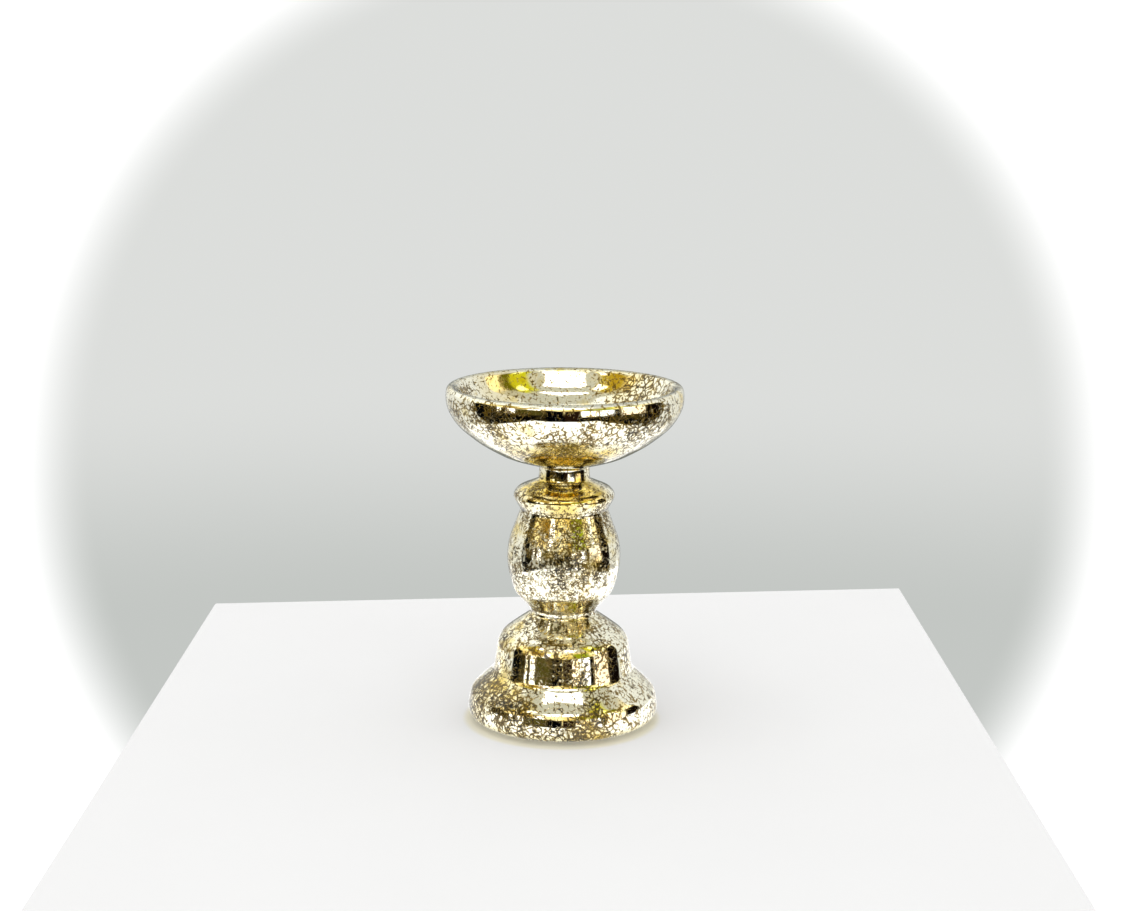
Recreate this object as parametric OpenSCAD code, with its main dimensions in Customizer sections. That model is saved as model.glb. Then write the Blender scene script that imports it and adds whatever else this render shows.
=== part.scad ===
// Pedestal tealight holder in silvered, double-walled blown glass.
// The glass is one closed vessel of revolution: foot, bell, waist, baluster, collar, neck and dish.
// A mirror film and its lacquer line the inside of the glass, and a rubber plug closes the fill hole
// in the kicked-up base. Four clear bumpers under the foot ring carry it.
// Millimetres, +Z up, origin on the table at the centre of the foot.

/* [Dish] */
// Widest diameter of the dish
dish_d = 114.2; // [108:0.2:120]
// Height from the bottom of the dish to the crest of its rim
dish_h = 38.8; // [38:0.2:44]
// Depth of the dish from the crest of the rim to its flat floor
dish_depth = 24; // [20:0.5:25]
// Diameter of the dish floor that a tealight stands on, to the middle of the curve at its edge
seat_d = 49; // [44:1:52]
// Width of the rounded rim where the two walls meet
rim_w = 4.2; // [4.2:0.1:5]

/* [Stem] */
// Diameter of the plain neck under the dish
neck_d = 24.2; // [20:0.2:26]
// Height of the neck
neck_h = 6.6; // [4:0.2:10]
// Widest diameter of the collar over the baluster
collar_d = 49.2; // [46:0.2:54]
// Height of the collar from the groove to the neck
collar_h = 14.5; // [13.5:0.1:18]
// Diameter at the groove between collar and baluster
groove_d = 41.9; // [40:0.1:43]
// Widest diameter of the baluster
belly_d = 55.1; // [52:0.1:57]
// Height of the baluster from the waist to the groove
baluster_h = 49.4; // [48:0.2:56]
// Height of the straight waist between the bell and the baluster
waist_h = 2.3; // [2:0.1:3]
// Diameter at the waist between baluster and bell
waist_d = 31.8; // [28:0.2:33]

/* [Bell and foot] */
// Diameter of the bell just above the foot
bell_d = 67.9; // [64:0.1:70]
// Height of the bell from the foot to the waist
bell_h = 28.5; // [27:0.1:34]
// Widest diameter of the foot
foot_d = 92.6; // [90:0.1:98]
// Height of the foot from its underside to the bell
foot_h = 23.6; // [22.6:0.1:28]
// Rise of the kicked-up base at its middle
kick_h = 5.2; // [4:0.1:7]

/* [Walls and films] */
// Thickness of the blown glass wall
wall_t = 1.1; // [0.9:0.1:1.6]
// Thickness of the mirror film on the inside of the glass
mirror_t = 0.12; // [0.1:0.01:0.14]
// Thickness of the amber lacquer that backs the mirror film
lacquer_t = 0.12; // [0.1:0.01:0.14]

/* [Plug and bumpers] */
// Diameter of the fill hole in the base
hole_d = 14; // [10:0.5:18]
// Diameter of the plug's flange
flange_d = 20; // [19:0.5:24]
// Thickness of the plug's flange
flange_t = 1.6; // [1.2:0.1:2]
// Number of bumpers under the foot
bumper_n = 4; // [3:1:6]
// Diameter of a bumper where it sticks to the glass
bumper_d = 8; // [6:0.5:8]
// Height of a bumper
bumper_h = 1.3; // [0.8:0.1:2]

/* [Hidden] */

// Steps round the axis, and the largest turn of the outline between two of its points
ROUND_FN = 144;
ARC_STEP = 6;
// Small overlap that keeps the cuts clean
EPS = 0.01;

// Heights of the joins between the blown sections, from the table up
foot_z = bumper_h;
bell_z = foot_z + foot_h;
waist_z = bell_z + bell_h;
groove_z = waist_z + waist_h + baluster_h;
neck_z = groove_z + collar_h;
dish_z = neck_z + neck_h;
crest_z = dish_z + dish_h;
seat_z = crest_z - dish_depth;
kick_z = foot_z + kick_h;

// Half the widest diameters
foot_r = foot_d / 2;
belly_r = belly_d / 2;
collar_r = collar_d / 2;
dish_r = dish_d / 2;
hole_r = hole_d / 2;

// Distances in from the foot's widest circle: the flat ring that the glass stands on begins there, and
// the bumpers' middles lie there
ring_in = 15.3;
bumper_in = 9.5;

// Distances in from the dish's widest circle to the crest of the rim, and from the bowl's own edge to the
// two bends in its side
crest_in = 0.7;
upper_bend_in = 6.4;
lower_bend_in = 15.2;
bowl_r = dish_r - rim_w;

// Corners of the outline before rounding, each [radius, height, fillet], from the fill hole out under
// the foot, up the outside, over the rim and down to the middle of the dish floor.
base_corners = [
    [hole_r, kick_z, 0],
    [14, kick_z, 10],
    [foot_r - ring_in, foot_z, 6]
];
foot_corners = [
    [foot_r + 0.1, foot_z, 5],
    [foot_r, foot_z + 0.27 * foot_h, 12],
    [foot_r * 0.974, foot_z + 0.565 * foot_h, 6.2],
    [foot_r * 0.858, foot_z + 0.79 * foot_h, 40]
];
bell_corners = [
    [bell_d / 2, bell_z, 4],
    [bell_d * 0.477, bell_z + 0.34 * bell_h, 22],
    [bell_d * 0.466, bell_z + 0.6 * bell_h, 11],
    [bell_d * 0.335, bell_z + 0.83 * bell_h, 20]
];
baluster_corners = [
    [waist_d / 2, waist_z, 1],
    [waist_d / 2, waist_z + waist_h, 1],
    [belly_r * 0.863, waist_z + waist_h + 0.175 * baluster_h, 10],
    [belly_r * 0.974, waist_z + waist_h + 0.37 * baluster_h, 39],
    [belly_r * 1.013, waist_z + waist_h + 0.624 * baluster_h, 32],
    [groove_d / 2, groove_z, 1.6]
];
collar_corners = [
    [collar_r * 1.022, groove_z + 0.48 * collar_h, 3],
    [collar_r * 0.9, groove_z + 0.715 * collar_h, 3],
    [neck_d / 2 + 0.2, neck_z, 1.8]
];
dish_corners = [
    [neck_d / 2, dish_z, 1.5],
    [dish_r * 0.512, dish_z + 0.13 * dish_h, 40],
    [dish_r * 0.725, dish_z + 0.31 * dish_h, 45],
    [dish_r * 0.925, dish_z + 0.55 * dish_h, 26],
    [dish_r * 1.002, dish_z + 0.795 * dish_h, 15],
    [dish_r - crest_in, crest_z, 2.25]
];
bowl_corners = [
    [bowl_r - crest_in, crest_z, 2.1],
    [bowl_r - upper_bend_in, crest_z - 0.41 * dish_depth, 22],
    [bowl_r - lower_bend_in, crest_z - 0.74 * dish_depth, 24],
    [seat_d / 2, seat_z, 7],
    [0, seat_z, 0]
];
corners = concat(base_corners, foot_corners, bell_corners, baluster_corners, collar_corners,
                 dish_corners, bowl_corners);
LAST = len(corners) - 1;

// Direction of the side that leaves corner i, and its left-hand normal, which points into the wall
function point(i) = [corners[i].x, corners[i].y];
function side(i) = (point(i + 1) - point(i)) / norm(point(i + 1) - point(i));
function left(v) = [-v.y, v.x];

// Corner i after the whole outline moves a distance d into the wall
function moved(i, d) =
    i == 0 ? point(0) + d * left(side(0)) :
    i == LAST ? point(LAST) + d * left(side(LAST - 1)) :
    point(i) + d * (left(side(i - 1)) + left(side(i))) / (1 + side(i - 1) * side(i));

// Arc that rounds corner i at depth d: its radius shrinks on outside corners and grows on inside ones
function arc_points(i, d) =
    let (
        u = side(i - 1),
        bend = acos(min(1, u * side(i))),
        hand = cross(u, side(i)) > 0 ? 1 : -1,
        r = corners[i].z - hand * d,
        middle = moved(i, d) - u * r * tan(bend / 2) + hand * r * left(u),
        steps = max(1, ceil(bend / ARC_STEP))
    )
    [for (k = [0:steps])
        let (a = bend * k / steps)
        middle + r * (sin(a) * u - hand * cos(a) * left(u))];

// The whole outline at depth d in the wall
function outline(d) = concat(
    [moved(0, d)],
    [for (i = [1:LAST - 1]) each arc_points(i, d)],
    [moved(LAST, d)]
);

function reversed(list) = [for (i = [len(list) - 1:-1:0]) list[i]];

// A skin of revolution between two depths in the wall
module skin(outer_d, inner_d) {
    rotate_extrude($fn = ROUND_FN)
        polygon(concat(outline(outer_d), reversed(outline(inner_d))));
}

module glass_body() {
    color([0.86, 0.9, 0.88, 0.4])
        skin(0, wall_t);
}

module silver_lining() {
    color([0.83, 0.8, 0.72])
        skin(wall_t, wall_t + mirror_t);
}

module lacquer_backing() {
    color([0.42, 0.27, 0.1])
        skin(wall_t + mirror_t, wall_t + mirror_t + lacquer_t);
}

// Rubber plug with a flange under the base, a blind pocket and a chamfered tip inside the glass
module base_plug() {
    // How far the tip stands inside the glass, and the rubber left round the pocket and over it
    tip_in = 4.2;
    shaft_wall = 2.4;
    tip_wall = 1.8;
    chamfer = 1.2;
    tip_z = kick_z + wall_t + tip_in;
    color([0.8, 0.8, 0.78])
        difference() {
            union() {
                translate([0, 0, kick_z - flange_t])
                    cylinder(h = flange_t, r = flange_d / 2, $fn = ROUND_FN);
                translate([0, 0, kick_z - EPS])
                    cylinder(h = tip_z - chamfer - kick_z + EPS, r = hole_r, $fn = ROUND_FN);
                translate([0, 0, tip_z - chamfer])
                    cylinder(h = chamfer, r1 = hole_r, r2 = hole_r - chamfer, $fn = ROUND_FN);
            }
            translate([0, 0, kick_z - flange_t - EPS])
                cylinder(h = tip_z - tip_wall - kick_z + flange_t, r = hole_r - shaft_wall,
                         $fn = ROUND_FN);
        }
}

// Clear bumper: a short disc with a chamfered lower edge
module bumper(i) {
    chamfer = 0.5;
    turn = 360 * (i - 0.5) / bumper_n;
    color([0.9, 0.9, 0.9, 0.5])
        rotate(turn)
            translate([foot_r - bumper_in, 0, 0]) {
                cylinder(h = chamfer, r1 = bumper_d / 2 - chamfer, r2 = bumper_d / 2, $fn = 48);
                translate([0, 0, chamfer])
                    cylinder(h = bumper_h - chamfer, r = bumper_d / 2, $fn = 48);
            }
}

glass_body();
silver_lining();
lacquer_backing();
base_plug();
for (i = [1:bumper_n])
    bumper(i);
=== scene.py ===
"""Looks of the silvered glass tealight holder: blown glass over a cracked mirror film, on a white plinth."""

import math

import bpy
import numpy as np
from mathutils import Matrix, Vector


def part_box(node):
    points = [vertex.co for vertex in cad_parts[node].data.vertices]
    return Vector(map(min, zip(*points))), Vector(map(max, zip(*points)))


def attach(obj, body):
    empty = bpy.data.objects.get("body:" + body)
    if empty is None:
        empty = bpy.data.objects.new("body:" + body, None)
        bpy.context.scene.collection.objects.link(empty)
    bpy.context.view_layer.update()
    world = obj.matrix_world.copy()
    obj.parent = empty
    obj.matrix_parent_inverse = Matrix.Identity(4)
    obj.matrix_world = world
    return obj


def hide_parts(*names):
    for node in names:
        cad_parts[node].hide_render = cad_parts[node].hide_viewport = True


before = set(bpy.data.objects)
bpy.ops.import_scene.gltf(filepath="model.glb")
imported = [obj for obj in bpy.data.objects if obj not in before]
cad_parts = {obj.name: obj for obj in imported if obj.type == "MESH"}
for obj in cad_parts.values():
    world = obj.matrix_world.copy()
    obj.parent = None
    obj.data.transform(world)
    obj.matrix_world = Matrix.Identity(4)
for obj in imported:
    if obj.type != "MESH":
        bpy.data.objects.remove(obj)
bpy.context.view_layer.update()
MM = 0.001

# ---------------------------------------------------------------- how fine the meshes are
SEGMENTS = 176
# Longest step along an outline in mm, and the largest turn between two of its points in degrees
LONGEST_STEP = 2.4
LARGEST_TURN = 4.0
# Length over which neighbouring arcs of the outline flow together, in mm
BLEND = 0.7
# Depth of the faint waves that blowing leaves in the wall, in mm
WAVE = 0.07
# The film is set this far into the glass and the lacquer this far back from the film, so that no two
# faces coincide, in mm
BITE = 0.04
GAP = 0.01
# Distances under this count as none, in mm: from the CAD mesh's seam plane, and from the axis
SEAM = 1e-3
AXIS = 1e-6
# Edges that turn by more than this are shaded sharp, in degrees
SHARP = 50.0


# ================================================================ meshes of revolution
def cad_outline(node):
    """A turned CAD node's outline in mm, as two lists of (radius, height) from the axis to the fill hole:
    the side that faces the air or the glass, and the side that faces the sealed space."""
    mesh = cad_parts[node].data
    co = np.array([v.co for v in mesh.vertices]) / MM
    on_seam = (np.abs(co[:, 1]) < SEAM) & (co[:, 0] > 0)
    key = {i: (round(co[i, 0], 3), round(co[i, 2], 3)) for i in np.nonzero(on_seam)[0]}
    links = {}
    for edge in mesh.edges:
        a, b = (key.get(i) for i in edge.vertices)
        if a and b and a != b:
            links.setdefault(a, set()).add(b)
            links.setdefault(b, set()).add(a)
    ends = sorted((point for point in links if len(links[point]) == 1), key=lambda point: point[1])
    walk = [ends[-1]]
    while walk[-1] != ends[0]:
        walk.append(next(point for point in links[walk[-1]] if len(walk) < 2 or point != walk[-2]))
    # The wall's end at the fill hole is the narrowest step of the walk
    hole = min(range(1, len(walk) - 1), key=lambda i: walk[i][0] + walk[i + 1][0])
    outer = [(0.0, walk[0][1])] + walk[:hole + 1]
    inner = [(0.0, walk[-1][1])] + walk[:hole:-1]
    return np.array(outer), np.array(inner)


def flowing(points):
    """The same outline with its arcs blended, in steps that are short only where it turns."""
    mirrored = np.vstack([points[:0:-1] * (-1, 1), points])
    along = np.concatenate([[0], np.cumsum(np.linalg.norm(np.diff(mirrored, axis=0), axis=1))])
    fine = 0.05
    s = np.arange(0, along[-1], fine)
    dense = np.stack([np.interp(s, along, mirrored[:, k]) for k in (0, 1)], 1)
    reach = int(4 * BLEND / fine)
    weight = np.exp(-0.5 * (np.arange(-reach, reach + 1) * fine / BLEND) ** 2)
    weight /= weight.sum()
    padded = np.vstack([2 * dense[0] - dense[reach:0:-1], dense, 2 * dense[-1] - dense[-2:-reach - 2:-1]])
    smooth = np.stack([np.convolve(padded[:, k], weight, "valid") for k in (0, 1)], 1)
    smooth = smooth[len(smooth) // 2:]
    smooth[0, 0] = 0.0
    smooth[-1] = points[-1]
    step = np.diff(smooth, axis=0)
    heading = np.unwrap(np.arctan2(step[:, 1], step[:, 0]))
    turn = np.abs(np.gradient(heading))
    cost = np.linalg.norm(step, axis=1) / LONGEST_STEP + turn / math.radians(LARGEST_TURN)
    total = np.concatenate([[0], np.cumsum(cost)])
    count = int(math.ceil(total[-1]))
    pick = np.interp(np.linspace(0, total[-1], count + 1), total, np.arange(len(total)))
    return np.stack([np.interp(pick, np.arange(len(smooth)), smooth[:, k]) for k in (0, 1)], 1)


def normals(points):
    """Unit normals of an outline that runs from the axis out, on its air side."""
    along = np.gradient(points, axis=0)
    along /= np.linalg.norm(along, axis=1)[:, None]
    return np.stack([-along[:, 1], along[:, 0]], 1)


def waves(x, y, z):
    """Slow, even undulation of a blown wall, from 0 to 1."""
    a = np.sin(0.21 * x + 0.13 * z + 0.6) * np.sin(0.17 * y - 0.11 * z + 1.9)
    b = np.sin(0.09 * x - 0.23 * y + 0.07 * z + 4.1)
    c = np.sin(0.12 * x + 0.15 * y + 0.19 * z + 2.2)
    return 0.5 + (a + b + c) / 6


def turned(name, loop, wave=None):
    """A mesh turned from an open or closed loop of (radius, height) in mm. Points on the axis become poles.
    wave gives, for each point, the (radial, vertical) direction in which the wall undulates."""
    angle = np.linspace(0, 2 * math.pi, SEGMENTS, endpoint=False)
    verts, rings = [], []
    for i, (r, z) in enumerate(loop):
        if r < AXIS:
            rings.append([len(verts)])
            verts.append((0, 0, z * MM))
            continue
        x, y, h = r * np.cos(angle), r * np.sin(angle), np.full(SEGMENTS, z)
        if wave is not None:
            depth = -WAVE * waves(x, y, h)
            x = x + depth * wave[i][0] * np.cos(angle)
            y = y + depth * wave[i][0] * np.sin(angle)
            h = h + depth * wave[i][1]
        rings.append(list(range(len(verts), len(verts) + SEGMENTS)))
        verts.extend(zip(x * MM, y * MM, h * MM))
    faces = []
    for a, b in zip(rings[:-1], rings[1:]):
        for k in range(SEGMENTS):
            n = (k + 1) % SEGMENTS
            if len(a) == 1:
                faces.append((a[0], b[k], b[n]))
            elif len(b) == 1:
                faces.append((a[k], b[0], a[n]))
            else:
                faces.append((a[k], b[k], b[n], a[n]))
    mesh = bpy.data.meshes.new(name)
    mesh.from_pydata(verts, [], faces)
    mesh.validate()
    mesh.polygons.foreach_set("use_smooth", [True] * len(mesh.polygons))
    mesh.set_sharp_from_angle(angle=math.radians(SHARP))
    obj = bpy.data.objects.new(name, mesh)
    bpy.context.scene.collection.objects.link(obj)
    return obj


def skin(name, node, grow=0.0):
    """The smooth skin that stands for a turned CAD node. grow moves its glass side outwards, in mm."""
    outer, inner = (flowing(side) for side in cad_outline(node))
    n_out, n_in = normals(outer), normals(inner)
    outer = outer + grow * n_out * (outer[:, :1] > AXIS)
    loop = np.vstack([outer, inner[::-1]])
    obj = turned(name, loop, np.vstack([n_out, n_in[::-1]]))
    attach(obj, "root")
    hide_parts(node)
    return obj


# ================================================================ shader helpers
class Graph:
    """Adds nodes to a tree and joins them in one call each."""

    def __init__(self, tree):
        self.tree = tree
        tree.nodes.clear()

    def add(self, kind, inputs=None, **settings):
        node = self.tree.nodes.new(kind)
        for name, value in settings.items():
            setattr(node, name, value)
        for name, value in (inputs or {}).items():
            self.set(node.inputs[name], value)
        return node

    def set(self, socket, value):
        if isinstance(value, bpy.types.NodeSocket):
            self.tree.links.new(value, socket)
        else:
            socket.default_value = value

    def math(self, operation, *values, clamp=False):
        node = self.add("ShaderNodeMath", operation=operation, use_clamp=clamp)
        for socket, value in zip(node.inputs, values):
            self.set(socket, value)
        return node.outputs[0]

    def vector(self, operation, *values):
        node = self.add("ShaderNodeVectorMath", operation=operation)
        for socket, value in zip(node.inputs, values):
            self.set(socket, value)
        return node.outputs["Value" if operation in ("DISTANCE", "DOT_PRODUCT") else "Vector"]

    def scaled(self, vector, factor):
        node = self.add("ShaderNodeVectorMath", operation="SCALE")
        self.set(node.inputs[0], vector)
        self.set(node.inputs["Scale"], factor)
        return node.outputs[0]

    def ramp(self, value, low, high, to_low=0.0, to_high=1.0):
        node = self.add("ShaderNodeMapRange", interpolation_type="SMOOTHSTEP")
        for name, v in (("Value", value), ("From Min", low), ("From Max", high),
                        ("To Min", to_low), ("To Max", to_high)):
            self.set(node.inputs[name], v)
        return node.outputs["Result"]

    def mix(self, factor, a, b):
        node = self.add("ShaderNodeMix", data_type="RGBA")
        for socket, v in ((node.inputs[0], factor), (node.inputs[6], a), (node.inputs[7], b)):
            self.set(socket, v)
        return node.outputs[2]

    def noise(self, vector, scale, detail=2.0, roughness=0.5, color=False):
        node = self.add("ShaderNodeTexNoise",
                        {"Vector": vector, "Scale": scale, "Detail": detail, "Roughness": roughness})
        return node.outputs["Color" if color else "Fac"]

    def voronoi(self, vector, scale, feature, output="Distance"):
        node = self.add("ShaderNodeTexVoronoi", {"Vector": vector, "Scale": scale}, feature=feature)
        return node.outputs[output]


def rgb(r, g, b):
    return (r, g, b, 1.0)


def new_material(name):
    mat = bpy.data.materials.new(name)
    mat.use_nodes = True
    return mat, Graph(mat.node_tree)


def millimetres(g):
    """Position on the object in mm."""
    return g.scaled(g.add("ShaderNodeTexCoord").outputs["Object"], 1 / MM)


def warped(g, place, scale, reach):
    """place pushed about by noise: reach in mm, scale per mm."""
    push = g.vector("SUBTRACT", g.noise(place, scale, 1.5, color=True), (0.5, 0.5, 0.5))
    return g.vector("ADD", place, g.scaled(push, 2 * reach))


def finish_material(g, shader):
    g.tree.links.new(shader.outputs[0], g.add("ShaderNodeOutputMaterial").inputs["Surface"])


# ================================================================ materials
# Cells per mm of the film's three nets of strokes
COARSE_NET = 0.37
FINE_NET = 0.72
CRACK_NET = 0.27
# A stroke's core is solid up to this share of its width, and its soft edge ends at this multiple of it
CORE_SOLID = 0.40
EDGE_END = 2.0
# From this height up the film is cleaner, over the crest of the rim: height, fade in mm, and by how much
CREST_Z, CREST_FADE, CREST_CLEAN = 160.0, 3.0, 0.6
# The film's colours
SILVER = rgb(0.955, 0.930, 0.820)
GILT = rgb(0.81, 0.64, 0.19)
EDGE_AMBER = rgb(0.56, 0.38, 0.03)
EDGE_BROWN = rgb(0.32, 0.22, 0.03)
STROKE_BLACK = rgb(0.008, 0.006, 0.003)
STROKE_BROWN = rgb(0.26, 0.165, 0.012)
STROKE_GOLDEN = rgb(0.30, 0.20, 0.02)

# Places where the film differs from its average, each (middle, reach in mm, amount added at the middle).
# How much crackle there is
CRACKLE_ZONES = [
    ((-42, -14, 15), 24, 0.24),    # foot, left flank
    ((-26, -38, 12), 14, 0.20),    # foot, left of the front
    ((0, -52, 146), 18, 0.32),     # dish, front
    ((-27, -44, 147), 20, 0.20),   # dish, left of the front
    ((27, -44, 147), 20, 0.20),    # dish, right of the front
    ((-47, -30, 157), 15, 0.35),   # dish, left edge
    ((0, -46, 6), 34, 0.50),       # foot, lower edge
    ((0, -25, 49), 12, 0.15),      # shoulder of the bell
    ((0, -27, 88), 18, 0.45),      # baluster, front
    ((0, -42, 139), 24, -0.20),    # under the dish, front
    ((30, -36, 136), 20, 0.15),    # under the dish, right
    ((-38, -34, 136), 20, -0.30),  # under the dish, left
    ((50, 12, 155), 30, -0.60),    # dish, right side
    ((0, -42, 20), 17, -0.90),     # foot, upper front
    ((36, -24, 16), 22, -0.45),    # foot, right flank
    ((-6, -33, 30), 16, -0.10),    # bell, front
    ((-8, 50, 157), 32, -0.90),    # far side of the bowl
    ((-36, 34, 157), 24, -0.55),   # far left of the bowl
    ((0, -57, 163), 15, -0.70),    # rim, front
    ((0, -21, 107), 12, 0.35),     # groove under the collar
    ((15, -28, 36), 12, 0.30),     # bell, right of the front
    ((0, -17, 130), 22, -0.30),    # root of the dish
    ((0, -17, 113), 14, -0.45),    # top of the collar
    ((0, -23, 56), 12, -0.60),     # waist
]
# How far fine strokes take the place of coarse ones
FINE_ZONES = [
    ((0, -15, 84), 42, 1.00),  # baluster
    ((0, -20, 48), 16, 0.80),  # shoulder of the bell
]
# How many cells are dull flakes
FLAKE_ZONES = [
    ((0, -22, 48), 18, 0.60),    # shoulder of the bell
    ((0, -27, 86), 20, 0.35),    # baluster, front
    ((-20, -19, 84), 16, 0.35),  # baluster, left
    ((20, -19, 84), 16, 0.35),   # baluster, right
]
# How many large branching cracks there are
VEIN_ZONES = [
    ((46, 26, 158), 32, 0.75),   # right of the bowl
    ((-26, -38, 12), 16, 0.60),  # foot, left of the front
    ((-42, -12, 15), 24, 1.00),  # foot, left flank
    ((-10, -33, 38), 16, 0.30),  # bell, left of the front
    ((0, -48, 6), 40, 0.20),     # foot, lower edge
    ((-8, 50, 157), 30, -0.60),  # far side of the bowl
    ((0, -42, 18), 16, -0.60),   # foot, upper front
]
# How much gilt tarnish there is
GILT_ZONES = [
    ((-40, -18, 17), 18, 0.30),  # foot, left flank
    ((-32, -20, 26), 11, 0.80),  # step between foot and bell, left
    ((0, -26, 47), 16, 0.20),    # shoulder of the bell
    ((0, -14, 116), 15, 1.00),   # top of the collar
    ((-12, -11, 116), 12, 0.80),
    ((12, -11, 116), 12, 0.80),
    ((0, -20, 107), 11, 0.50),   # groove under the collar
    ((0, -12, 123), 8, -1.20),   # neck
    ((0, -17, 130), 14, 0.70),   # root of the dish
    ((0, -41, 138), 19, 1.00),   # under the dish
    ((-19, -36, 137), 14, 0.50),
    ((19, -36, 137), 14, 0.50),
    ((-34, 36, 157), 20, 0.30),  # far left of the bowl
    ((30, 40, 157), 14, 0.30),   # far right of the bowl
    ((34, -26, 15), 24, -0.60),  # foot, right flank
    ((0, -42, 18), 17, -0.70),   # foot, upper front
    ((0, -55, 155), 16, -0.50),  # dish, upper front
]
# The tone of the strokes: below 0 nearly black, above 0 golden brown
TONE_ZONES = [
    ((0, -46, 5), 34, -0.60),     # foot, lower edge
    ((-28, -36, 10), 16, -0.40),  # foot, left of the front
    ((-42, -14, 14), 26, -0.75),  # foot, left flank
    ((0, -34, 33), 34, -0.50),    # bell
    ((0, -26, 86), 22, -0.50),    # baluster
    ((0, -54, 148), 30, 0.50),    # dish, front
]


def with_zones(g, place, field, zones):
    """field raised or lowered inside soft round zones, and kept between 0 and 1."""
    for middle, reach, amount in zones:
        far = g.vector("DISTANCE", place, middle)
        field = g.math("ADD", field, g.ramp(far, 0.35 * reach, reach, amount, 0.0))
    return g.math("MULTIPLY", field, 1.0, clamp=True)


def keeping(g, place, scale, amount, gain, less):
    """Where a net's strokes are kept: noise (scale per mm) less a constant, plus gain times amount."""
    return g.math("MULTIPLY_ADD", amount, gain, g.math("SUBTRACT", g.noise(place, scale, 2.0), less))


def strokes(g, place, per_mm, width, kept):
    """Dark cores and soft edges of a net of strokes round cells. width is in cells, and where kept is low the
    strokes stop short."""
    border = g.voronoi(place, per_mm, "DISTANCE_TO_EDGE")
    core = g.ramp(border, g.math("MULTIPLY", width, CORE_SOLID), width, 1.0, 0.0)
    edge = g.ramp(border, width, g.math("MULTIPLY", width, EDGE_END), 1.0, 0.0)
    core = g.math("MULTIPLY", core, g.ramp(kept, 0.49, 0.56))
    edge = g.math("MULTIPLY", edge, g.ramp(kept, 0.46, 0.56))
    return core, edge


def highest(g, *values):
    top = values[0]
    for value in values[1:]:
        top = g.math("MAXIMUM", top, value, clamp=True)
    return top


def crackle_amount(g, place):
    """How heavy the crackle is: slow noise, less over the crest of the rim, and the zones."""
    height = g.vector("DOT_PRODUCT", place, (0, 0, 1))
    crest = g.ramp(height, CREST_Z, CREST_Z + CREST_FADE, 0.0, CREST_CLEAN)
    common = g.math("SUBTRACT", g.ramp(g.noise(place, 0.055, 3.0, 0.6), 0.38, 0.70, 0.0, 0.70), crest)
    return with_zones(g, place, common, CRACKLE_ZONES)


def crackle(g, place, bent, heavy):
    """Dark cores and soft edges of all strokes: a coarse net, a fine net, large cracks and specks."""
    finer = with_zones(g, place, 0.0, FINE_ZONES)
    kept = keeping(g, place, 0.50, heavy, 0.24, 0.02)
    kept = g.math("MULTIPLY_ADD", finer, -0.11, kept)
    core, edge = strokes(g, bent, COARSE_NET, g.math("MULTIPLY_ADD", heavy, 0.070, 0.048), kept)

    fine_kept = keeping(g, place, 0.35, heavy, 0.22, 0.17)
    fine_kept = g.math("MULTIPLY_ADD", finer, 0.16, fine_kept)
    fine_core, fine_edge = strokes(g, bent, FINE_NET, 0.085, fine_kept)

    veined = with_zones(g, place, g.ramp(g.noise(place, 0.045, 2.0), 0.50, 0.68, 0.0, 0.6), VEIN_ZONES)
    looped = warped(g, warped(g, place, 0.12, 4.0), 0.6, 0.8)
    crack_kept = keeping(g, place, 0.22, veined, 0.30, 0.13)
    crack_width = g.math("MULTIPLY_ADD", veined, 0.04, 0.045)
    crack_core, crack_edge = strokes(g, looped, CRACK_NET, crack_width, crack_kept)

    specks = g.ramp(g.math("MULTIPLY_ADD", heavy, 0.06, g.noise(bent, 1.0, 3.0, 0.6)), 0.665, 0.695)
    core = highest(g, core, fine_core, crack_core, specks)
    edge = highest(g, edge, g.math("MULTIPLY", fine_edge, 0.7), crack_edge)
    return core, edge


def flakes(g, place, bent, heavy):
    """Dull cells of the fine net, which stay pale where the mirror reflects something dark."""
    dull = with_zones(g, place, g.math("MULTIPLY", heavy, 0.45), FLAKE_ZONES)
    cells = g.voronoi(bent, FINE_NET, "F1", "Color")
    draw = g.add("ShaderNodeSeparateColor", {"Color": cells}).outputs["Red"]
    return g.ramp(g.math("ADD", dull, draw), 1.08, 1.12)


def film_colour(g, place, core, edge):
    """Silver that turns gilt in places, with amber stroke edges and strokes from black to golden brown."""
    gilt = with_zones(g, place, g.ramp(g.noise(place, 0.065, 4.0, 0.62), 0.50, 0.76), GILT_ZONES)
    tone = with_zones(g, place, g.ramp(g.noise(place, 0.13, 3.0, 0.65), 0.32, 0.58), TONE_ZONES)
    amber = g.mix(g.noise(place, 0.3, 2.0), EDGE_AMBER, EDGE_BROWN)
    dark = g.mix(gilt, g.mix(tone, STROKE_BLACK, STROKE_BROWN), STROKE_GOLDEN)
    plain = g.mix(gilt, SILVER, GILT)
    return g.mix(core, g.mix(g.math("MULTIPLY", edge, 0.88), plain, amber), dark)


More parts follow.
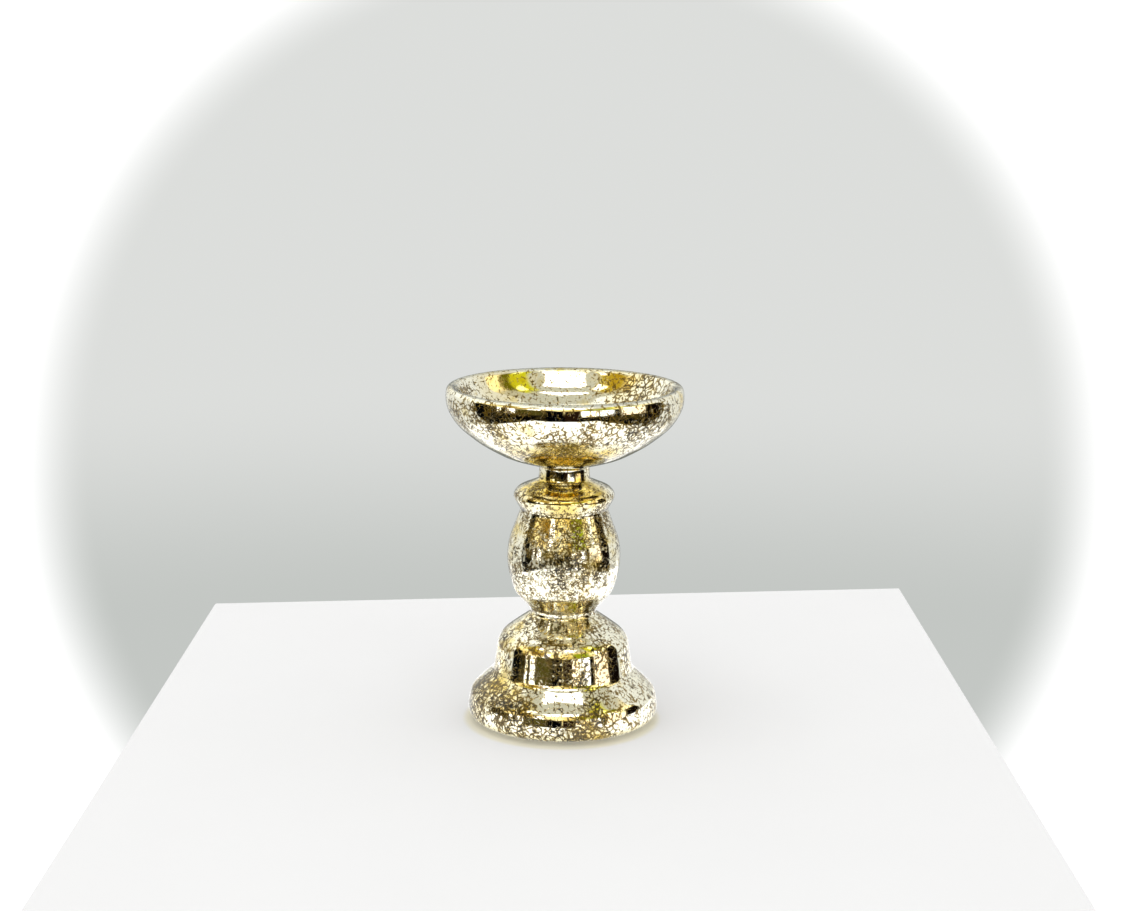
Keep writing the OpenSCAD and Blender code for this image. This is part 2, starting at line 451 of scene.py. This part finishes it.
def mirror_film():
    """Silver broken by crackle, with dull flakes and gilt tarnish."""
    mat, g = new_material("mirror_film")
    place = millimetres(g)
    bent = warped(g, warped(g, place, 0.22, 1.5), 0.9, 0.40)
    heavy = crackle_amount(g, place)
    core, edge = crackle(g, place, bent, heavy)
    flake = flakes(g, place, bent, heavy)
    rough = g.ramp(g.noise(place, 0.3, 3.0), 0.3, 0.75, 0.01, 0.06)
    rough = g.math("MULTIPLY_ADD", core, 0.30, g.math("MULTIPLY_ADD", flake, 0.42, rough))
    metallic = g.math("MULTIPLY_ADD", core, -0.85, 1.0)
    height = g.math("MULTIPLY_ADD", core, -0.5, g.noise(place, 0.12, 2.0))
    bump = g.add("ShaderNodeBump", {"Strength": 0.35, "Distance": 0.00012, "Height": height})
    shader = g.add("ShaderNodeBsdfPrincipled",
                   {"Base Color": film_colour(g, place, core, edge), "Metallic": metallic, "Roughness": rough,
                    "Normal": bump.outputs[0]})
    finish_material(g, shader)
    return mat


def clear_glass():
    mat, g = new_material("clear_glass")
    place = millimetres(g)
    tint = g.mix(g.noise(place, 0.05, 2.0), rgb(0.985, 0.99, 0.975), rgb(0.965, 0.975, 0.955))
    ripple = g.noise(place, 0.06, 1.0)
    bump = g.add("ShaderNodeBump", {"Strength": 0.2, "Distance": 0.00015, "Height": ripple})
    shader = g.add("ShaderNodeBsdfPrincipled",
                   {"Base Color": tint, "Roughness": 0.0, "IOR": 1.5, "Transmission Weight": 1.0,
                    "Normal": bump.outputs[0]})
    finish_material(g, shader)
    return mat


def amber_lacquer():
    mat, g = new_material("amber_lacquer")
    place = millimetres(g)
    patches = g.ramp(g.noise(place, 0.2, 4.0, 0.6), 0.35, 0.7)
    colour = g.mix(patches, rgb(0.10, 0.055, 0.015), rgb(0.34, 0.2, 0.05))
    rough = g.ramp(g.noise(place, 0.8, 3.0), 0.3, 0.7, 0.25, 0.5)
    finish_material(g, g.add("ShaderNodeBsdfPrincipled", {"Base Color": colour, "Roughness": rough}))
    return mat


def plug_rubber():
    mat, g = new_material("plug_rubber")
    place = millimetres(g)
    colour = g.mix(g.noise(place, 0.35, 4.0, 0.6), rgb(0.55, 0.55, 0.52), rgb(0.68, 0.67, 0.63))
    rough = g.ramp(g.noise(place, 2.0, 3.0), 0.3, 0.7, 0.55, 0.75)
    bump = g.add("ShaderNodeBump", {"Strength": 0.3, "Distance": 0.00005, "Height": g.noise(place, 4.0, 3.0)})
    finish_material(g, g.add("ShaderNodeBsdfPrincipled",
                             {"Base Color": colour, "Roughness": rough, "Normal": bump.outputs[0]}))
    return mat


def clear_bumper():
    mat, g = new_material("clear_bumper")
    place = millimetres(g)
    tint = g.mix(g.noise(place, 0.6, 2.0), rgb(0.93, 0.94, 0.93), rgb(0.86, 0.88, 0.86))
    rough = g.ramp(g.noise(place, 1.5, 3.0), 0.3, 0.7, 0.12, 0.28)
    finish_material(g, g.add("ShaderNodeBsdfPrincipled",
                             {"Base Color": tint, "Roughness": rough, "IOR": 1.46,
                              "Transmission Weight": 0.85}))
    return mat


# ================================================================ the object's pieces
def build_vessel():
    glass = skin("glass_vessel", "glass_body")
    glass.data.materials.append(clear_glass())
    film = skin("silver_film", "silver_lining", grow=BITE)
    film.data.materials.append(mirror_film())
    backing = skin("amber_backing", "lacquer_backing", grow=-GAP)
    backing.data.materials.append(amber_lacquer())


def rounded(corners, steps=5):
    """Outline through (radius, height, cut) corners in mm. A curve takes each corner off, and it starts and
    ends at the distance cut from the corner."""
    out = [np.array(corners[0][:2], float)]
    for before, here, after in zip(corners[:-2], corners[1:-1], corners[2:]):
        b, h, a = (np.array(c[:2], float) for c in (before, here, after))
        u, v = (b - h) / np.linalg.norm(b - h), (a - h) / np.linalg.norm(a - h)
        start, end = h + here[2] * u, h + here[2] * v
        for k in range(steps + 1):
            t = k / steps
            out.append((1 - t) ** 2 * start + 2 * t * (1 - t) * h + t ** 2 * end)
    out.append(np.array(corners[-1][:2], float))
    return np.array(out)


def build_plug():
    """Rubber plug: a soft flange, a groove round its blind pocket, and a shaft with a chamfered tip."""
    plug_lo, plug_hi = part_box("base_plug")
    flange_r = (plug_hi.x - plug_lo.x) / 2 / MM
    low, high = plug_lo.z / MM, plug_hi.z / MM
    shaft_r = 0.7 * flange_r
    pocket_r = 0.46 * flange_r
    flange_top = low + 0.21 * (high - low)
    groove_top = low + 0.35
    chamfer = 1.2
    soft = 0.6
    draft = 0.2
    corners = [
        (0, high, 0),
        (shaft_r - chamfer, high, 0.3),
        (shaft_r, high - chamfer, 0.4),
        (shaft_r, flange_top, 0.2),
        (flange_r - draft, flange_top, 0.2),
        (flange_r, low + soft, 0.5),
        (flange_r - soft, low, 0.4),
        (pocket_r + 1.6, low, 0.3),
        (pocket_r + 1.2, groove_top, 0.2),
        (pocket_r + 0.5, groove_top, 0.2),
        (pocket_r, low, 0.3),
        (pocket_r - draft, high - 2.0, 0.5),
        (0, high - 1.8, 0),
    ]
    plug = turned("rubber_plug", rounded(corners))
    plug.data.materials.append(plug_rubber())
    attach(plug, "root")
    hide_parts("base_plug")


def build_bumpers(material):
    """Clear bumpers: soft discs with a domed lower edge and a flat where they stand."""
    top_in = 0.15
    flat_in = 0.55
    for node in sorted(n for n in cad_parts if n.startswith("bumper_")):
        lo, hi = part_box(node)
        r, h = (hi.x - lo.x) / 2 / MM, (hi.z - lo.z) / MM
        corners = [(0, h, 0), (r - top_in, h, 0.12), (r, 0.55 * h, 0.35), (r - flat_in, 0, 0.5), (0, 0, 0)]
        pad = turned("clear_" + node, rounded(corners))
        pad.data.transform(Matrix.Translation(((lo.x + hi.x) / 2, (lo.y + hi.y) / 2, lo.z)))
        pad.data.materials.append(material)
        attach(pad, "root")
        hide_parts(node)


build_vessel()
build_plug()
build_bumpers(clear_bumper())


# ================================================================ stage: white plinth
# Its width, how far it reaches behind and before the holder's axis, its depth and its bevel, in metres
PLINTH_W = 0.411
PLINTH_BACK = 0.221
PLINTH_FRONT = 0.36
PLINTH_DEEP = 0.9
PLINTH_BEVEL = 0.0012
# Its back edge is turned by this much to the view
PLINTH_TURN = math.radians(6.3)
# The painted caustic, a disc of warm light painted on the plinth under the foot: its middle, and the radii
# between which it fades, in mm
CAUSTIC_DISC_MIDDLE = (-0.5, -1.2, 0.0)
CAUSTIC_DISC_FROM, CAUSTIC_DISC_TO = 45.5, 49.5
# How brightly the plinth glows for the camera, and how much more for the mirror
PLINTH_GLOW = 0.335
PLINTH_MIRRORED = 0.56


def build_plinth():
    """A white plinth whose flat top is the floor under the holder, with a painted caustic round the foot."""
    mat, g = new_material("white_plinth")
    place = millimetres(g)
    ray = g.add("ShaderNodeLightPath").outputs
    mirrored = g.math("ADD", ray["Is Glossy Ray"], ray["Is Transmission Ray"], clamp=True)
    # Painted caustic: inside this disc the glow turns warm cream and the base colour olive
    painted_caustic = g.ramp(g.vector("DISTANCE", place, CAUSTIC_DISC_MIDDLE), CAUSTIC_DISC_FROM, CAUSTIC_DISC_TO, 1.0, 0.0)
    glow = g.mix(painted_caustic, rgb(1.0, 1.0, 1.0), rgb(0.985, 0.955, 0.82))
    colour = g.mix(g.noise(place, 0.01, 3.0), rgb(0.48, 0.48, 0.48), rgb(0.50, 0.50, 0.50))
    colour = g.mix(painted_caustic, colour, rgb(0.48, 0.46, 0.38))
    strength = g.math("MULTIPLY_ADD", mirrored, PLINTH_MIRRORED, PLINTH_GLOW)
    finish_material(g, g.add("ShaderNodeBsdfPrincipled",
                             {"Base Color": colour, "Roughness": 0.75, "Specular IOR Level": 0.0,
                              "Emission Color": glow, "Emission Strength": strength}))
    x = PLINTH_W / 2
    skew = math.tan(PLINTH_TURN) * x
    front = [(-x, -PLINTH_FRONT, 0), (x, -PLINTH_FRONT, 0)]
    back = [(x, PLINTH_BACK + skew, 0), (-x, PLINTH_BACK - skew, 0)]
    top = front + back
    verts = top + [(vx, vy, -PLINTH_DEEP) for vx, vy, _ in top]
    faces = [(0, 1, 2, 3), (7, 6, 5, 4)] + [(i, i + 4, (i + 1) % 4 + 4, (i + 1) % 4) for i in range(4)]
    mesh = bpy.data.meshes.new("plinth")
    mesh.from_pydata(verts, [], faces)
    mesh.materials.append(mat)
    plinth = bpy.data.objects.new("plinth", mesh)
    bpy.context.scene.collection.objects.link(plinth)
    bevel = plinth.modifiers.new("edge", "BEVEL")
    bevel.width = PLINTH_BEVEL
    bevel.segments = 3


build_plinth()


# ================================================================ camera
# How far it stands before the axis and over the plinth in metres, how far it looks down, leans and turns,
# and its focal length in mm
CAMERA_BACK = 0.9398
CAMERA_UP = 0.3224
CAMERA_DOWN = math.radians(11.525)
CAMERA_ROLL = math.radians(0.42)
CAMERA_TURN = math.radians(0.03)
CAMERA_LENS = 63.9


def build_camera():
    data = bpy.data.cameras.new("camera")
    data.sensor_width = 36.0
    data.lens = CAMERA_LENS
    data.clip_start, data.clip_end = 0.05, 20.0
    cam = bpy.data.objects.new("camera", data)
    place = Matrix.Translation((0, -CAMERA_BACK, CAMERA_UP))
    turn = Matrix.Rotation(CAMERA_TURN, 4, "Z")
    tilt = Matrix.Rotation(math.pi / 2 - CAMERA_DOWN, 4, "X")
    roll = Matrix.Rotation(CAMERA_ROLL, 4, "Z")
    cam.matrix_world = place @ turn @ tilt @ roll
    bpy.context.scene.collection.objects.link(cam)
    bpy.context.scene.camera = cam


build_camera()


# ================================================================ light: a pale backdrop for the camera, even
# white light for the floor, and a simple room that only the glass and the mirror see
# The backdrop fades to white between these cosines of the angle from the middle of the view
VIGNETTE_CLEAR, VIGNETTE_WHITE = math.cos(math.radians(13.3)), math.cos(math.radians(16.0))
# The room lies between these bearings in degrees, counted to the right from the viewer's side. The rest is a
# pale surround, which is darker from DARK_BEHIND on, straight behind the object
WALL_FROM, WALL_TO = -97.0, 109.0
DARK_BEHIND = 168.0
# Shapes in the room: (middle bearing, half width, low edge, high edge, softness, colour). All but the colour
# are in degrees, and the edges are angles above the level
ROOM = [
    (-60, 50, -6, 14, 4, (0.07, 0.055, 0.018)),      # far wall, left half
    (60, 50, -6, 14, 4, (0.16, 0.12, 0.05)),         # far wall, right half
    (-53, 5.5, -6, 13, 0.6, (2.2, 2.2, 2.2)),        # window, left
    (-66, 2.2, -6, 12, 0.5, (2.0, 2.0, 2.0)),        # narrow window beside it
    (-88, 8, -30, 22, 1.2, (0.004, 0.004, 0.003)),   # dark panel, far left
    (-30, 6.5, 13, 35, 1.0, (2.6, 2.6, 2.6)),        # high window, left
    (-35, 12, -6, 10, 3, (0.12, 0.10, 0.02)),        # olive panel
    (24, 8, -9, 11, 0.8, (2.1, 1.95, 1.7)),          # warm window, right
    (41, 7, -9, 13, 0.6, (2.1, 2.2, 2.4)),           # cool window beside it
    (51, 2, -10, 14, 0.4, (0.003, 0.003, 0.003)),    # dark post
    (70, 14, -10, 15, 0.8, (1.6, 1.4, 1.1)),         # wide warm window
    (68, 5, 16, 36, 1.0, (2.2, 2.3, 2.2)),           # high window, right
    (97, 11, -30, 27, 1.2, (0.008, 0.004, 0.002)),   # dark panel, far right
    (-9, 8, -45, 9, 0.6, (0.002, 0.002, 0.0025)),    # dark panel, middle
    (7, 7, -35, 8, 1.0, (0.03, 0.014, 0.006)),       # brown panel, middle
    (34, 16, 13, 36, 4, (0.42, 0.46, 0.02)),         # yellow-green patch
    (68, 15, 36, 64, 5, (0.75, 0.70, 0.03)),         # yellow patch, high right
    (72, 6, 48, 58, 2, (2.4, 2.3, 0.9)),             # bright spot in it
    (84, 6, 36, 50, 3, (0.22, 0.20, 0.01)),          # dim olive patch beside it
    (-66, 17, 36, 62, 5, (0.62, 0.46, 0.05)),        # amber patch, high left
    (-57, 7.5, 48, 61, 1.2, (2.8, 2.7, 2.3)),        # bright spot in it
    (-50, 14, 20, 36, 5, (0.42, 0.26, 0.03)),        # amber panel under it
]
# Softboxes overhead: (from, to) to the right and (from, to) towards the viewer, per metre of height
SOFTBOXES = [((-0.38, 0.38), (0.54, 0.95)), ((-0.28, 0.30), (0.13, 0.21))]
SOFTBOX_GLOW = 5.0
# The lamp's place, the point that it faces, its size in metres and its power in watts
LAMP_AT = (-0.15, -0.25, 1.3)
LAMP_FACES = (0, 0, 0.05)
LAMP_W, LAMP_DEEP = 0.9, 0.6
LAMP_POWER = 3.0


def band(g, value, low, high, soft):
    """1 between low and high and 0 outside, with soft edges."""
    up = g.ramp(value, low - soft, low + soft)
    return g.math("MULTIPLY", up, g.ramp(value, high - soft, high + soft, 1.0, 0.0))


def room_colour(g, way, bearing, rise):
    """The room on the viewer's side: a mottled ceiling and floor, and the shapes on its walls."""
    ceiling = g.mix(g.ramp(g.noise(way, 3.0, 3.0), 0.4, 0.65), rgb(1.50, 1.32, 0.82), rgb(0.98, 0.76, 0.26))
    ceiling = g.mix(g.ramp(rise, 36.0, 50.0), ceiling, rgb(0.68, 0.66, 0.56))
    patches = g.ramp(g.noise(way, 5.0, 3.0), 0.45, 0.65)
    floor = g.mix(patches, rgb(0.004, 0.003, 0.002), rgb(0.09, 0.065, 0.015))
    room = g.mix(g.ramp(rise, -5.0, 1.0), floor, ceiling)
    for middle, half, low, high, soft, colour in ROOM:
        across = band(g, bearing, middle - half, middle + half, soft)
        mask = g.math("MULTIPLY", across, band(g, rise, low, high, soft))
        room = g.mix(mask, room, rgb(*colour))
    return room


def surround_colour(g, bearing, rise):
    """The pale surround beside and behind the object: brighter high on the left, darker straight behind."""
    left = g.ramp(bearing, WALL_FROM - 4.0, WALL_FROM + 4.0, 1.0, 0.0)
    bright = g.math("MULTIPLY", left, g.ramp(rise, 8.0, 16.0))
    behind = g.ramp(g.math("ABSOLUTE", bearing), DARK_BEHIND - 5.0, DARK_BEHIND + 5.0)
    behind = g.math("MULTIPLY", behind, g.ramp(rise, 0.0, 8.0, 1.0, 0.45))
    surround = g.mix(bright, rgb(0.95, 0.95, 0.92), rgb(1.25, 1.25, 1.18))
    return g.mix(behind, surround, rgb(0.34, 0.36, 0.34))


def with_softboxes(g, part, room):
    """room with the softboxes overhead."""
    above = g.math("MAXIMUM", part["Z"], 0.05)
    right = g.math("DIVIDE", part["X"], above)
    near = g.math("DIVIDE", g.math("MULTIPLY", part["Y"], -1.0), above)
    for side, depth in SOFTBOXES:
        lit = g.math("MULTIPLY", band(g, right, *side, 0.05), band(g, near, *depth, 0.015))
        room = g.mix(lit, room, rgb(SOFTBOX_GLOW, SOFTBOX_GLOW, SOFTBOX_GLOW))
    return room


def backdrop_colour(g, way, level):
    """What the camera sees behind the object: pale grey that fades to white round the edge of the view."""
    pale = g.mix(g.ramp(level, -16.0, -9.5), rgb(0.60, 0.62, 0.60), rgb(0.755, 0.765, 0.75))
    ahead = (0.0, math.cos(CAMERA_DOWN), -math.sin(CAMERA_DOWN))
    centred = g.vector("DOT_PRODUCT", way, ahead)
    return g.mix(g.ramp(centred, VIGNETTE_WHITE, VIGNETTE_CLEAR, 1.0, 0.0), pale, rgb(1.2, 1.2, 1.2))


def build_world():
    world = bpy.data.worlds.new("surround")
    bpy.context.scene.world = world
    world.use_nodes = True
    g = Graph(world.node_tree)
    ray = g.add("ShaderNodeLightPath").outputs
    way = g.add("ShaderNodeTexCoord").outputs["Generated"]
    part = g.add("ShaderNodeSeparateXYZ", {"Vector": way}).outputs
    degrees = 180 / math.pi
    ahead = g.math("ARCTAN2", part["X"], g.math("MULTIPLY", part["Y"], -1.0))
    level = g.math("MULTIPLY", g.math("ARCSINE", part["Z"]), degrees)

    # Noise bends the edges of the room's shapes by a degree or two, as an uneven mirror does
    bearing = g.math("MULTIPLY", ahead, degrees)
    bearing = g.math("MULTIPLY_ADD", g.math("SUBTRACT", g.noise(way, 7.0, 3.0), 0.5), 3.0, bearing)
    rise = g.math("MULTIPLY_ADD", g.math("SUBTRACT", g.noise(way, 9.0, 3.0), 0.5), 5.0, level)

    inside = band(g, bearing, WALL_FROM, WALL_TO, 1.5)
    room = g.mix(inside, surround_colour(g, bearing, rise), room_colour(g, way, bearing, rise))
    seen = g.mix(ray["Is Diffuse Ray"], with_softboxes(g, part, room), rgb(1.0, 1.0, 1.0))
    seen = g.mix(ray["Is Camera Ray"], seen, backdrop_colour(g, way, level))
    back = g.add("ShaderNodeBackground", {"Color": seen, "Strength": 1.0})
    g.tree.links.new(back.outputs[0], g.add("ShaderNodeOutputWorld").inputs["Surface"])


def build_lights():
    """One broad soft light from above, which the glass and the mirror don't show."""
    data = bpy.data.lights.new("softbox", "AREA")
    data.shape = "RECTANGLE"
    data.size, data.size_y = LAMP_W, LAMP_DEEP
    data.energy = LAMP_POWER
    lamp = bpy.data.objects.new("softbox", data)
    lamp.location = LAMP_AT
    lamp.rotation_euler = (Vector(LAMP_FACES) - lamp.location).to_track_quat("-Z", "Y").to_euler()
    lamp.visible_glossy = False
    lamp.visible_transmission = False
    bpy.context.scene.collection.objects.link(lamp)


build_world()
build_lights()
# Plain tones without a filmic curve, and slightly deeper mid-tones
bpy.context.scene.view_settings.view_transform = "Standard"
bpy.context.scene.view_settings.gamma = 0.85
